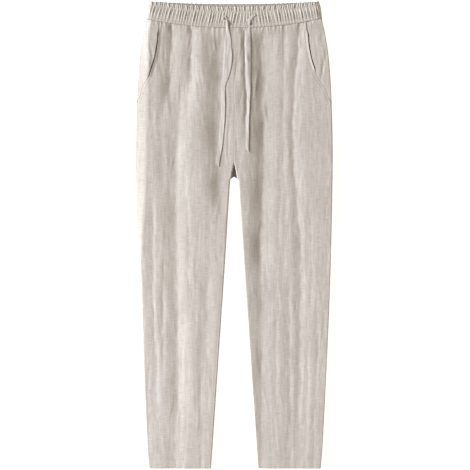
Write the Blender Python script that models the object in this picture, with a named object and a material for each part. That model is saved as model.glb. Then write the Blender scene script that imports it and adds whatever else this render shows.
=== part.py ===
"""Linen drawstring trousers, laid flat on a surface with the fronts up.

Metres, +Z up, +Y towards the waist. Left (-X) and right (+X) are as seen from above; the left
pieces are on the wearer's right. The origin is under the middle of the garment, on the surface
that it rests on.

The garment is a set of cut pieces, each a wall of cloth of its own: two fronts, two backs, two hip
facings under the slanted pockets, and a gathered waistband in a front and a back length. Each is a
grid of stations (along the leg) and columns (across it), moved inwards by the cloth's thickness.
Seams are left SEAM_GAP open. The two ends of the drawstring lie on the fronts.
"""
import math
from collections import namedtuple

import bmesh
import bpy
from mathutils import Vector

for old in list(bpy.data.objects):
    bpy.data.objects.remove(old, do_unlink=True)

# Driving dimensions.
LENGTH = 1.030            # waist corner to hem
CLOTH = 0.0012            # wall of a single layer of linen
HEM_CLOTH = 0.0022        # turned hem, two layers
HEM_DEPTH = 0.020
BAND_CLOTH = 0.0030       # casing: two layers of linen and the elastic between them
SEAM_GAP = 0.0003
CORD_DIAMETER = 0.004     # round stand-in for the flat tie
CLEARANCE = 0.0008        # cord above the cloth

TOP = LENGTH / 2
HEM = -LENGTH / 2
FRONT_CROTCH = 0.1575     # where the two fronts part
BACK_CROTCH = 0.1256      # lowest edge of the back crotch
BAND_SIDE_BOTTOM = 0.4745  # lower edge of the waistband at the side seams
WAIST_HALF = 0.190        # the waist dips between these half widths
FRONT_SAG_BOTTOM = 0.0195  # how far the front band's lower edge dips at the centre
FRONT_SAG_TOP = 0.0125
BACK_SAG_BOTTOM = 0.0110
BACK_SAG_TOP = 0.0060
SAG_FROM = 0.30           # the dip fades in between these stations
SAG_TO = 0.47

# One row for each station along the garment: its place, the half width to the outer edge, the half
# width to the inside of the leg, how wide the rounded outer edge is, how high the front lies, how
# high the outer seam is.
Station = namedtuple("Station", "y outer inner rim height seam")
STATIONS = (
    Station(-0.5150, 0.1905, 0.0508, 0.008, 0.0132, 0.0044),
    Station(-0.4740, 0.1935, 0.0480, 0.008, 0.0136, 0.0044),
    Station(-0.3640, 0.1998, 0.0404, 0.008, 0.0144, 0.0046),
    Station(-0.2540, 0.2056, 0.0331, 0.009, 0.0147, 0.0048),
    Station(-0.1440, 0.2104, 0.0255, 0.010, 0.0154, 0.0050),
    Station(-0.0340, 0.2139, 0.0182, 0.012, 0.0160, 0.0052),
    Station(0.0760, 0.2163, 0.0114, 0.021, 0.0164, 0.0055),
    Station(0.1860, 0.2174, 0.0000, 0.025, 0.0165, 0.0055),
    Station(0.2960, 0.2148, 0.0000, 0.025, 0.0165, 0.0055),
    Station(0.3620, 0.2112, 0.0000, 0.024, 0.0162, 0.0055),
    Station(0.4060, 0.2067, 0.0000, 0.020, 0.0156, 0.0055),
    Station(0.4460, 0.2000, 0.0000, 0.015, 0.0148, 0.0055),
    Station(0.4720, 0.1943, 0.0000, 0.013, 0.0132, 0.0055),
    Station(0.4980, 0.1913, 0.0000, 0.011, 0.0120, 0.0052),
    Station(0.5150, 0.1868, 0.0000, 0.010, 0.0110, 0.0050),
)
RIGHT_RIM = 0.004         # the right edge is folded sharply down the body and leg
RIGHT_RIM_WAIST = 0.011
BACK_ROLL = 0.006         # width of the rounded edge of the backs
BAND_ROLL = 0.0065

# The inner edge near the crotch: half width of the opening between the fronts, how far the front
# has turned down from a flat seam to a rounded edge, and the angle of the inside leg seam on that
# edge (-90 underneath, 0 at the edge, 90 on top).
Inside = namedtuple("Inside", "y inner turned angle")
INSIDES = (
    Inside(-0.1440, 0.0255, 1.0, 38.0),
    Inside(-0.1200, 0.0239, 1.0, 36.0),
    Inside(-0.0340, 0.0182, 1.0, 6.0),
    Inside(0.0760, 0.0114, 1.0, 0.0),
    Inside(0.1200, 0.0084, 1.0, 0.0),
    Inside(0.1236, 0.0068, 1.0, 0.0),
    Inside(0.1256, 0.0058, 1.0, 0.0),
    Inside(0.1420, 0.0028, 0.9, 0.0),
    Inside(0.1575, 0.0002, 0.0, 0.0),
)
INNER_RIM = 0.0030        # width of the rounded inner edge

# The slanted pocket: half width of its edge on the front, down to where it runs into the side seam.
Pocket = namedtuple("Pocket", "y edge")
POCKETS = (
    Pocket(0.2860, 0.2153),
    Pocket(0.3030, 0.2080),
    Pocket(0.3230, 0.2010),
    Pocket(0.3380, 0.1916),
    Pocket(0.3510, 0.1840),
    Pocket(0.3690, 0.1780),
    Pocket(0.3890, 0.1718),
    Pocket(0.4230, 0.1661),
    Pocket(0.4500, 0.1639),
    Pocket(0.4760, 0.1620),
)
POCKET_FOOT = 0.2860      # from here down the front reaches the side seam
FACING_FOOT = 0.2890      # lowest edge of the hip facing, tucked under the front
FACING_FULL = 0.3030      # from here up the facing reaches the side seam
FACING_SINK = 0.0028      # how far the facing lies below the front's outer surface
FACING_TUCK = 0.0032      # how far inside the side seam its lowest edge lies
POCKET_UNDERLAP = 0.016   # facing under the front's edge
POCKET_MOUTH = 0.0022     # how far the edge stands back from the mouth's line
MOUTH_OPEN = 0.3600       # the mouth is fully open from here up

# One row for each large trough between two folds: which front, where it starts and ends, its place
# at five even stations from the top, how far the cloth falls into it from the left and over what
# width above and below, how far it rises again on the right and over what width above and below,
# and how soft the crease is.
Trough = namedtuple("Trough", "side top bottom x1 x2 x3 x4 x5 fall fall_above fall_below "
                    "rise rise_above rise_below crease")
TROUGHS = (
    Trough(-1, 0.478, 0.270, -0.136, -0.138, -0.141, -0.144, -0.147,
           0.0032, 0.028, 0.026, 0.0030, 0.015, 0.034, 0.005),
    Trough(-1, 0.478, 0.250, -0.093, -0.094, -0.096, -0.098, -0.102,
           0.0026, 0.017, 0.022, 0.0028, 0.020, 0.030, 0.005),
    Trough(-1, 0.400, -0.520, -0.112, -0.127, -0.128, -0.124, -0.132,
           0.0042, 0.050, 0.026, 0.0054, 0.026, 0.034, 0.007),
    Trough(-1, 0.470, 0.010, -0.024, -0.026, -0.031, -0.037, -0.028,
           0.0056, 0.038, 0.030, 0.0056, 0.022, 0.026, 0.004),
    Trough(1, 0.478, -0.110, 0.064, 0.067, 0.068, 0.065, 0.060,
           0.0046, 0.034, 0.040, 0.0030, 0.020, 0.060, 0.003),
    Trough(1, 0.030, -0.520, 0.060, 0.061, 0.061, 0.061, 0.063,
           0.0034, 0.040, 0.030, 0.0030, 0.034, 0.034, 0.005),
    Trough(1, 0.478, -0.520, 0.145, 0.129, 0.144, 0.144, 0.138,
           0.0023, 0.015, 0.022, 0.0032, 0.024, 0.030, 0.003),
)
TROUGH_TAIL = 0.110       # most length over which a trough starts or ends
TROUGH_HEAD = 0.030       # the same at the waistband
HEM_RELIEF = 0.35         # share of a trough's depth that is left at the hem
HEM_RELIEF_FROM = -0.300

# The waistband: rows from the seam up, as a share of its depth, with how deep the gathers are and
# how far the casing puffs out there.
BandRow = namedtuple("BandRow", "share gather puff")
BAND_ROWS = (
    BandRow(0.00, 0.10, 0.0000),
    BandRow(0.22, 0.35, 0.0000),
    BandRow(0.47, 1.00, 0.0012),
    BandRow(0.74, 0.45, 0.0002),
    BandRow(1.00, 0.80, 0.0006),
)
GATHERS = 40              # gathers across one length of the waistband
GATHER_DEPTH = 0.0010
GATHER_LEAN = 0.0060      # how far a gather leans towards the middle over the band's depth
BACK_GATHER = 1.4         # the back's gathers are this much deeper, and only upwards

# The free ends of the drawstring, as points that each lies over on the fronts.
LEFT_TIE = (
    (-0.0205, 0.4760), (-0.0160, 0.4620), (-0.0135, 0.4420), (-0.0140, 0.4160), (-0.0135, 0.3840),
    (-0.0175, 0.3510), (-0.0230, 0.3290), (-0.0240, 0.2960), (-0.0240, 0.2690), (-0.0262, 0.2400),
    (-0.0290, 0.2070), (-0.0320, 0.1850), (-0.0355, 0.1640), (-0.0370, 0.1530),
)
RIGHT_TIE = (
    (0.0430, 0.4800), (0.0360, 0.4710), (0.0290, 0.4620), (0.0285, 0.4440), (0.0290, 0.4160),
    (0.0290, 0.3840), (0.0300, 0.3400), (0.0310, 0.2960), (0.0312, 0.2500), (0.0300, 0.2100),
    (0.0288, 0.1850),
)
TIE_STEP = 0.010
TIE_WIDTH = 0.0105

# How finely the cloth is divided: shares of the front's rounded edge, angles round the backs'
# edge, angles that set the facing's columns, columns and stations.
RIM_PLACES = (0.0, 0.35, 0.70, 1.0)
ROLL_ANGLES = (0, 35, 65, 90)
FACING_ANGLES = (0, 20, 36, 50, 62, 72, 81, 90)
FRONT_COLUMNS = 12
BACK_COLUMNS = 4
EDGE_STEPS = 4
LEG_ROWS = (0.4300, 0.3900, 0.3510, 0.3250, 0.3030, 0.2945, 0.2860, 0.2450, 0.2050, 0.1720,
            FRONT_CROTCH, 0.1420, BACK_CROTCH, 0.1236, 0.1000, 0.0500, -0.0100, -0.1000, -0.2000,
            -0.3000, -0.4000, HEM + HEM_DEPTH, HEM)
BODY_ROWS = (BAND_SIDE_BOTTOM - SEAM_GAP,) + LEG_ROWS
FACING_ROWS = tuple(y for y in BODY_ROWS if y > FACING_FOOT) + (FACING_FOOT,)

LINEN = (0.62, 0.57, 0.51, 1.0)
LINEN_SHADE = (0.52, 0.47, 0.41, 1.0)
TAPE = (0.66, 0.61, 0.55, 1.0)


def smooth(low, high, value):
    """0 below low, 1 above high, with soft ends."""
    share = min(max((value - low) / (high - low), 0.0), 1.0)
    return share * share * (3 - 2 * share)


def curve_value(places, values, y):
    """The value at y on a smooth curve through rising places."""
    y = min(max(y, places[0]), places[-1])
    last = len(places) - 1
    at = next(i for i in range(last) if y <= places[i + 1])

    def slope(i):
        low, high = max(i - 1, 0), min(i + 1, last)
        return (values[high] - values[low]) / (places[high] - places[low])

    span = places[at + 1] - places[at]
    t = (y - places[at]) / span
    return ((2 * t**3 - 3 * t**2 + 1) * values[at] + (t**3 - 2 * t**2 + t) * span * slope(at)
            + (3 * t**2 - 2 * t**3) * values[at + 1] + (t**3 - t**2) * span * slope(at + 1))


def read(table, column, y):
    """A column's value at station y, on a smooth curve through the table's rows."""
    return curve_value([row.y for row in table], [getattr(row, column) for row in table], y)


def inner_half(y):
    """Half the gap between the legs."""
    return read(INSIDES, "inner", y) if y > INSIDES[0].y else read(STATIONS, "inner", y)


def rim_width(side, y):
    """Width of a front's rounded outer edge."""
    rim = read(STATIONS, "rim", y)
    if side < 0:
        return rim
    sharp = RIGHT_RIM + (RIGHT_RIM_WAIST - RIGHT_RIM) * smooth(0.430, BAND_SIDE_BOTTOM, y)
    return min(rim, sharp)


def trough_depth(trough, x, y):
    """How one trough moves the front at a point: down into it, and up again beyond."""
    length = trough.top - trough.bottom
    places = [trough.bottom + length * i / 4 for i in range(5)]
    route = [trough.x5, trough.x4, trough.x3, trough.x2, trough.x1]
    down = (trough.top - y) / length
    off = x - curve_value(places, route, y)
    away = math.hypot(off, trough.crease) - trough.crease
    if off < 0:
        width = trough.fall_above + (trough.fall_below - trough.fall_above) * down
        lift = -trough.fall * (1 - min(away / width, 1.0))**2
    else:
        width = trough.rise_above + (trough.rise_below - trough.rise_above) * down
        lift = trough.rise - trough.fall - trough.rise * (1 - min(away / width, 1.0))**2
    if trough.side < 0:
        lift += trough.fall - trough.rise
    tail = min(0.35 * length, TROUGH_TAIL)
    head = TROUGH_HEAD if trough.top > BAND_SIDE_BOTTOM - 0.010 else tail
    lift *= 1 - smooth(trough.top - head, trough.top, y)
    if trough.bottom > HEM:
        lift *= smooth(trough.bottom, trough.bottom + tail, y)
    return lift * (HEM_RELIEF + (1 - HEM_RELIEF) * smooth(HEM, HEM_RELIEF_FROM, y))


def front_height(side, x, y):
    """The front's outer surface above the floor."""
    distance = read(STATIONS, "outer", y) - abs(x)
    across = min(max(distance / rim_width(side, y), 0.0), 1.0)
    share = 1.25 * across if across < 0.6 else 1 - 1.5625 * (1 - across)**2
    height = read(STATIONS, "height", y)
    seam = read(STATIONS, "seam", y)
    lift = sum(trough_depth(trough, x, y) for trough in TROUGHS
               if trough.side == side and trough.bottom < y < trough.top)
    return seam + (height - seam) * share + lift * smooth(0.0, 1.0, across)


def across_waist(x):
    """1 at the centre of the waist, 0 at the side seams."""
    return 1 - min(abs(x) / WAIST_HALF, 1.0)**2.2


def dip(x, y, amount):
    """The waist's dip towards the centre, which fades out down the body."""
    return amount * across_waist(x) * smooth(SAG_FROM, SAG_TO, y)


def front_point(side, x, y):
    """A point of the front's outer surface; its station dips with the waist."""
    return Vector((x, y - dip(x, y, FRONT_SAG_BOTTOM), front_height(side, x, y)))


def inner_turn(side, y, angle):
    """A point on the rounded inner edge of a leg."""
    inner = inner_half(y)
    middle = read(STATIONS, "seam", y)
    top = front_height(side, side * (inner + INNER_RIM), y)
    turn = math.radians(angle)
    reach = top - middle if angle > 0 else middle
    return Vector((side * (inner + INNER_RIM * (1 - math.cos(turn))), y,
                   middle + reach * math.sin(turn)))


def seam_normal(side, y):
    """The outward direction at the inside leg seam."""
    turn = math.radians(read(INSIDES, "angle", y))
    middle = read(STATIONS, "seam", y)
    top = inner_turn(side, y, 90).z
    reach = top - middle if turn > 0 else middle
    return Vector((-side * math.cos(turn) / INNER_RIM, 0.0, math.sin(turn) / reach)).normalized()


def gap_angle(y):
    """Half of the seam gap, as an angle on the rounded inner edge."""
    return math.degrees(SEAM_GAP / 2 / min(INNER_RIM, read(STATIONS, "seam", y)))


def pocket_start(y):
    """How far inside the outer edge the front's pocket edge lies."""
    mouth = POCKET_MOUTH * smooth(FACING_FULL, MOUTH_OPEN, y)
    return max(read(STATIONS, "outer", y) - read(POCKETS, "edge", y) + mouth, 0.0005)


def front_row(side, y):
    """One station of a front: outer edge first, then across to the inner edge."""
    outer = read(STATIONS, "outer", y)
    rim = rim_width(side, y)
    start = pocket_start(y) if y > POCKET_FOOT else 0.0
    points = [front_point(side, side * (outer - start - rim * place), y) for place in RIM_PLACES]
    if start == 0.0:
        points[0].z += SEAM_GAP / 2
    parted = y < FRONT_CROTCH
    turned = read(INSIDES, "turned", y) if parted else 0.0
    near = INNER_RIM + (inner_half(y) if parted else 0.0)
    far = outer - start - rim
    for column in range(1, FRONT_COLUMNS):
        points.append(front_point(side, side * (far + (near - far) * column / FRONT_COLUMNS), y))
    for step in range(EDGE_STEPS + 1):
        flat_x = side * max(INNER_RIM * (1 - step / EDGE_STEPS), SEAM_GAP / 2)
        flat = front_point(side, flat_x, y)
        if turned == 0.0:
            points.append(flat)
            continue
        angle = 90 + (read(INSIDES, "angle", y) + gap_angle(y) - 90) * step / EDGE_STEPS
        points.append(flat.lerp(inner_turn(side, y, angle), turned))
    return points


def back_row(side, y):
    """One station of a back: outer edge first, then under the garment to the inner edge."""
    outer = read(STATIONS, "outer", y)
    seam = read(STATIONS, "seam", y)
    places = []
    for angle in ROLL_ANGLES:
        turn = math.radians(angle)
        places.append((outer - BACK_ROLL * (1 - math.cos(turn)), seam * (1 - math.sin(turn))))
    legs = y < BACK_CROTCH - 0.001
    near = INNER_RIM + (inner_half(y) if legs else 0.0)
    far = outer - BACK_ROLL
    for column in range(1, BACK_COLUMNS):
        places.append((far + (near - far) * column / BACK_COLUMNS, 0.0))
    if not legs:
        places += [(max(INNER_RIM * (1 - step / EDGE_STEPS), SEAM_GAP / 2), 0.0)
                   for step in range(EDGE_STEPS + 1)]
    points = [Vector((side * x, y - dip(x, y, BACK_SAG_BOTTOM), up)) for x, up in places]
    points[0].z -= SEAM_GAP / 2
    if legs:
        last = read(INSIDES, "angle", y) - gap_angle(y)
        points += [inner_turn(side, y, -90 + (last + 90) * step / EDGE_STEPS)
                   for step in range(EDGE_STEPS + 1)]
    return points


def normals_of(grid, outward):
    """Unit normals of a grid of points, on the side that outward names."""
    rows, columns = len(grid), len(grid[0])
    normals = []
    for i in range(rows):
        line = []
        for j in range(columns):
            down = grid[min(i + 1, rows - 1)][j] - grid[max(i - 1, 0)][j]
            across = grid[i][min(j + 1, columns - 1)] - grid[i][max(j - 1, 0)]
            line.append(down.cross(across).normalized() * outward)
        normals.append(line)
    return normals


def level(vector, *axes):
    """The unit vector with the named axes taken out."""
    flat = vector.copy()
    for axis in axes:
        flat[axis] = 0.0
    return flat.normalized()


def wall(name, outer, inner, colour):
    """A closed wall of cloth between an outer and an inner grid of points."""
    rows, columns = len(outer), len(outer[0])
    mesh = bpy.data.meshes.new(name)
    shape = bmesh.new()
    sheets = [[[shape.verts.new(point) for point in line] for line in grid]
              for grid in (outer, inner)]
    for number, sheet in enumerate(sheets):
        for i in range(rows - 1):
            for j in range(columns - 1):
                corners = [sheet[i][j], sheet[i + 1][j], sheet[i + 1][j + 1], sheet[i][j + 1]]
                shape.faces.new(corners if number == 0 else corners[::-1])
    border = [(i, 0) for i in range(rows)] + [(rows - 1, j) for j in range(1, columns)]
    border += [(i, columns - 1) for i in range(rows - 2, -1, -1)]
    border += [(0, j) for j in range(columns - 2, 0, -1)]
    for (i, j), (k, m) in zip(border, border[1:] + border[:1]):
        shape.faces.new((sheets[0][k][m], sheets[0][i][j], sheets[1][i][j], sheets[1][k][m]))
    bmesh.ops.triangulate(shape, faces=shape.faces)
    bmesh.ops.recalc_face_normals(shape, faces=shape.faces)
    shape.to_mesh(mesh)
    shape.free()
    mesh.shade_smooth()
    mesh.set_sharp_from_angle(angle=math.radians(50))
    piece = bpy.data.objects.new(name, mesh)
    bpy.context.collection.objects.link(piece)
    mesh.materials.append(colour)
    return piece


def cloth(name, surface, outward, border, walls, colour, sinks=None, lifts=None):
    """A wall of cloth on the inner side of a grid of points.

    border trims the direction at the piece's edges, walls gives each row's thickness, sinks moves
    the whole wall inwards, and lifts raises only its outer side.
    """
    directions = normals_of(surface, outward)
    outer, inner = [], []
    for i, line in enumerate(surface):
        outer_line, inner_line = [], []
        for j, point in enumerate(line):
            normal = border(i, j, directions[i][j])
            sink = sinks[i][j] if sinks else 0.0
            lift = lifts[i][j] if lifts else 0.0
            outer_line.append(point - normal * sink + Vector((0, 0, lift)))
            inner_line.append(point - normal * (sink + walls[i]))
        outer.append(outer_line)
        inner.append(inner_line)
    return wall(name, outer, inner, colour)


def material(name, colour, roughness):
    """A plain matt cloth colour."""
    made = bpy.data.materials.new(name)
    made.use_nodes = True
    shader = made.node_tree.nodes["Principled BSDF"]
    shader.inputs["Base Color"].default_value = colour
    shader.inputs["Roughness"].default_value = roughness
    shader.inputs["Metallic"].default_value = 0.0
    return made


linen = material("linen", LINEN, 0.92)
linen_shade = material("linen_facing", LINEN_SHADE, 0.92)
tape = material("linen_tape", TAPE, 0.88)

BODY_WALLS = [CLOTH if y > HEM + HEM_DEPTH - 0.001 else HEM_CLOTH for y in BODY_ROWS]


# The two fronts: from the waistband seam to the hem, cut away at the pocket, joined at the centre
# front seam down to the crotch and to the backs at the side and inside leg seams.
def front(name, side):
    surface = [front_row(side, y) for y in BODY_ROWS]

    def border(i, j, normal):
        y = BODY_ROWS[i]
        if i in (0, len(BODY_ROWS) - 1):
            normal = level(normal, 1)
        if j == 0:
            normal = level(normal, 1) if y > POCKET_FOOT else level(normal, 1, 2)
        if j == len(surface[i]) - 1:
            normal = seam_normal(side, y) if y < FRONT_CROTCH else level(normal, 0)
        return normal

    cloth(name, surface, -side, border, BODY_WALLS, linen)


# The two backs: flat on the surface, turned up at the side seam and at the inside leg.
def back(name, side):
    surface = [back_row(side, y) for y in BODY_ROWS]

    def border(i, j, normal):
        y = BODY_ROWS[i]
        if i in (0, len(BODY_ROWS) - 1):
            normal = level(normal, 1)
        if j == 0:
            normal = level(normal, 1, 2)
        if j == len(surface[i]) - 1:
            normal = seam_normal(side, y) if y < BACK_CROTCH else level(normal, 0, 1)
        return normal

    cloth(name, surface, side, border, BODY_WALLS, linen)


# The hip facings: they show outside the slanted pocket edge, reach the waistband and the side seam,
# and run on under the front.
def facing(name, side):
    surface, sinks = [], []
    for y in FACING_ROWS:
        outer = read(STATIONS, "outer", y)
        start = pocket_start(y)
        tucked = 1 - smooth(FACING_FOOT, FACING_FULL, y)
        first = FACING_TUCK * tucked
        width = start + POCKET_UNDERLAP - first
        reaches = [first + width * (1 - math.cos(math.radians(angle))) for angle in FACING_ANGLES]
        surface.append([front_point(side, side * (outer - reach), y) for reach in reaches])
        sinks.append([FACING_SINK * max(tucked, smooth(0.4 * start, start, reach))
                      for reach in reaches])
        surface[-1][0].z += SEAM_GAP / 2

    def border(i, j, normal):
        if i == 0:
            normal = level(normal, 1)
        if j == 0 and FACING_ROWS[i] >= FACING_FULL:
            normal = level(normal, 1, 2)
        return normal

    cloth(name, surface, -side, border, [CLOTH] * len(surface), linen_shade, sinks=sinks)


# The waistband: one gathered casing over elastic, in a front length on top and a back length
# underneath, seamed at the sides.
def band_places(left_ends, right_ends, share):
    """Places across the band: rounded ends, and a crest and a trough for each gather between."""
    inside = min(left_ends[-1], right_ends[-1])
    count = 2 * GATHERS
    places = [-end for end in left_ends]
    for number in range(1, count):
        even = -left_ends[-1] + (left_ends[-1] + right_ends[-1]) * number / count
        uneven = 0.0011 * math.sin(1.7 * number) + 0.0006 * math.sin(0.61 * number + 1.0)
        towards = -math.copysign(min(abs(even) / 0.05, 1.0), even)
        near_end = smooth(0.0, 0.03, inside - abs(even))
        places.append(even + (uneven + GATHER_LEAN * towards * (share - 0.5)) * near_end)
    return places + right_ends[::-1]


def gather_sign(column, first, last):
    """1 on a crest, -1 in a trough, 0 on the rounded ends."""
    if not first <= column <= last:
        return 0.0
    uneven = 0.75 + 0.25 * math.sin(2.3 * column)
    return uneven if (column - first) % 2 == 0 else -uneven


def band(name, front_side):
    """One length of the waistband, the front's on top or the back's underneath."""
    surface, lifts = [], []
    sag_bottom = FRONT_SAG_BOTTOM if front_side else BACK_SAG_BOTTOM
    sag_top = FRONT_SAG_TOP if front_side else BACK_SAG_TOP
    for row in BAND_ROWS:
        station = BAND_SIDE_BOTTOM + (TOP - BAND_SIDE_BOTTOM) * row.share
        edge = read(STATIONS, "outer", station)
        seam = read(STATIONS, "seam", station)
        if front_side:
            ends = [[edge - rim_width(side, station) * place for place in RIM_PLACES]
                    for side in (-1, 1)]
        else:
            ends = [[edge - BAND_ROLL * (1 - math.cos(math.radians(angle)))
                     for angle in ROLL_ANGLES]] * 2
        places = band_places(*ends, row.share)
        first, last = len(ends[0]), len(places) - len(ends[1]) - 1
        line, raised = [], []
        for column, x in enumerate(places):
            bottom = BAND_SIDE_BOTTOM - sag_bottom * across_waist(x)
            top = TOP - sag_top * across_waist(x)
            sign = gather_sign(column, first, last)
            if front_side:
                up = front_height(-1 if x < 0 else 1, x, station)
                raised.append((row.puff + GATHER_DEPTH * row.gather * sign)
                              * smooth(0.0, 0.010, edge - abs(x)))
            else:
                share = min((edge - abs(x)) / BAND_ROLL, 1.0)
                up = seam * (1 - math.sqrt(max(0.0, 1 - (1 - share)**2)))
                raised.append(BACK_GATHER * GATHER_DEPTH * row.gather * max(-sign, 0.0))
            if column in (0, len(places) - 1):
                up += SEAM_GAP / 2 if front_side else -SEAM_GAP / 2
            line.append(Vector((x, bottom + (top - bottom) * row.share, up)))
        surface.append(line)
        lifts.append(raised)

    def border(i, j, normal):
        if i in (0, len(surface) - 1):
            normal = level(normal, 1)
        if j in (0, len(surface[i]) - 1):
            normal = level(normal, 1, 2)
        return normal

    cloth(name, surface, -1 if front_side else 1, border, [BAND_CLOTH] * len(surface), linen,
          lifts=lifts)


# The two free ends of the drawstring: each comes out of the casing and lies down the front.
def curve_through(route, step):
    """Points a step apart on a smooth curve through a route."""
    points = []
    for i in range(len(route) - 1):
        before = route[max(i - 1, 0)]
        start, end = route[i], route[i + 1]
        after = route[min(i + 2, len(route) - 1)]
        pieces = max(1, round(math.dist(start, end) / step))
        for piece in range(pieces):
            t = piece / pieces
            points.append(tuple(
                0.5 * (2 * b + (c - a) * t + (2 * a - 5 * b + 4 * c - d) * t * t
                       + (3 * b - a - 3 * c + d) * t**3)
                for a, b, c, d in zip(before, start, end, after)))
    return points + [route[-1]]


def lying_height(x, y):
    """The top of the cloth under a tie: the fronts, or the puffed casing above the waist seam."""
    side = -1 if x < 0 else 1
    seam = BAND_SIDE_BOTTOM - FRONT_SAG_BOTTOM * across_waist(x)
    station = y + dip(x, y, FRONT_SAG_BOTTOM)
    puffed = smooth(seam - 0.004, seam + 0.012, y) * (0.0012 + GATHER_DEPTH)
    spread = (-TIE_WIDTH, -TIE_WIDTH / 2, 0.0, TIE_WIDTH / 2, TIE_WIDTH)
    return max(front_height(side, x + offset, station) for offset in spread) + puffed


def tie(name, route):
    flat = curve_through(route, TIE_STEP)
    radius = CORD_DIAMETER / 2
    heights = [lying_height(x, y) for x, y in flat]
    points = [(x, y, max(heights[max(i - 2, 0):i + 3]) + radius + CLEARANCE)
              for i, (x, y) in enumerate(flat)]
    data = bpy.data.curves.new(name, "CURVE")
    data.dimensions = "3D"
    data.bevel_depth = radius
    data.bevel_resolution = 2
    data.use_fill_caps = True
    line = data.splines.new("POLY")
    line.points.add(len(points) - 1)
    for point, place in zip(line.points, points):
        point.co = (*place, 1.0)
    piece = bpy.data.objects.new(name, data)
    bpy.context.collection.objects.link(piece)
    data.materials.append(tape)
    length = sum(math.dist(a, b) for a, b in zip(points, points[1:]))
    print(f"{name}: {length * 1000:.0f} mm")


for word, sign in (("left", -1), ("right", 1)):
    front("front_" + word, sign)
    back("back_" + word, sign)
    facing("pocket_facing_" + word, sign)

band("waistband_front", True)
band("waistband_back", False)
tie("drawstring_left", LEFT_TIE)
tie("drawstring_right", RIGHT_TIE)
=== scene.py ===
"""Linen drawstring trousers laid flat, fronts up: the looks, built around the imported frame.

Metres, +Z up, +Y towards the waist. Left and right are as seen from above (left is -X).
"""
import math

import bpy
import numpy as np
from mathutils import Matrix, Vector


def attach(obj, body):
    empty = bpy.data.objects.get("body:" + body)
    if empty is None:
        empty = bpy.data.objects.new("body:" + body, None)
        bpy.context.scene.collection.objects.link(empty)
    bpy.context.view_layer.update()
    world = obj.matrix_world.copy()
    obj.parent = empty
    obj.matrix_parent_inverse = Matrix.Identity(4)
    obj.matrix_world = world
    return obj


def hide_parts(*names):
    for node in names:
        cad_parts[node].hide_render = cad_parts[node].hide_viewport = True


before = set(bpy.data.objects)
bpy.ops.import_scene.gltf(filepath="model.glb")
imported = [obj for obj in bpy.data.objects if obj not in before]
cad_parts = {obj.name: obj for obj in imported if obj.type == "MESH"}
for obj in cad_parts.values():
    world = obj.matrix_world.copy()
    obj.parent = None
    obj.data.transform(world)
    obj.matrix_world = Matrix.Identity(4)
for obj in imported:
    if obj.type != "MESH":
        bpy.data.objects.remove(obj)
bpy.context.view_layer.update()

# ---------------------------------------------------------------------------------------------
# Camera, floor and light. A long lens looks straight down on the garment as it lies on a pale
# table. One broad soft lamp stands low on the left, a soft panel lifts the left leg, and an even
# room fills the rest.
for node in bpy.context.selected_objects:
    node.select_set(False)
FRAME_WIDTH = 1.034
CLOTH_LEVEL = 0.012
camera_data = bpy.data.cameras.new("camera")
camera_data.lens = 100.0
camera_data.sensor_width = 36.0
camera = bpy.data.objects.new("camera", camera_data)
bpy.context.collection.objects.link(camera)
camera_height = CLOTH_LEVEL + FRAME_WIDTH * camera_data.lens / camera_data.sensor_width
camera.location = (0.0018, -0.0011, camera_height)
bpy.context.scene.camera = camera

bpy.ops.mesh.primitive_plane_add(size=8.0, location=(0, 0, -0.0004))
floor = bpy.context.object
floor.name = "floor"
floor_paint = bpy.data.materials.new("pale_table")
floor_paint.use_nodes = True
floor_shader = floor_paint.node_tree.nodes["Principled BSDF"]
floor_shader.inputs["Base Color"].default_value = (0.93, 0.93, 0.93, 1.0)
floor_shader.inputs["Roughness"].default_value = 0.9
floor_shader.inputs["Emission Color"].default_value = (1.0, 1.0, 1.0, 1.0)
floor_shader.inputs["Emission Strength"].default_value = 0.72
floor.data.materials.append(floor_paint)

lamp_data = bpy.data.lights.new("window_lamp", "SUN")
lamp_data.energy = 4.4
lamp_data.angle = math.radians(26)
lamp_data.color = (0.94, 0.985, 1.09)
lamp = bpy.data.objects.new("window_lamp", lamp_data)
lamp.rotation_euler = (math.radians(-6), math.radians(-62), 0.0)
bpy.context.collection.objects.link(lamp)

panel_data = bpy.data.lights.new("soft_panel", "AREA")
panel_data.energy = 0.9
panel_data.size = 0.35
panel_data.color = (0.96, 0.95, 1.05)
panel = bpy.data.objects.new("soft_panel", panel_data)
panel.location = (-0.50, -0.35, 0.40)
LIT_BY_PANEL = Vector((-0.12, -0.20, 0.0))
panel.rotation_euler = (LIT_BY_PANEL - panel.location).to_track_quat("-Z", "Y").to_euler()
panel.visible_camera = False
bpy.context.collection.objects.link(panel)

room = bpy.data.worlds.new("white_room")
room.use_nodes = True
room_glow = room.node_tree.nodes["Background"]
room_glow.inputs["Color"].default_value = (1.0, 0.83, 0.655, 1.0)
room_glow.inputs["Strength"].default_value = 0.36
bpy.context.scene.world = room
bpy.context.scene.view_settings.view_transform = "Standard"

# ---------------------------------------------------------------------------------------------
# Linen: undyed flax in a plain weave, with thick and thin yarns both ways, a little uneven in
# colour, soft and matt. Every piece carries its cut in metres as UV, so the yarns follow the cut.


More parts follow.
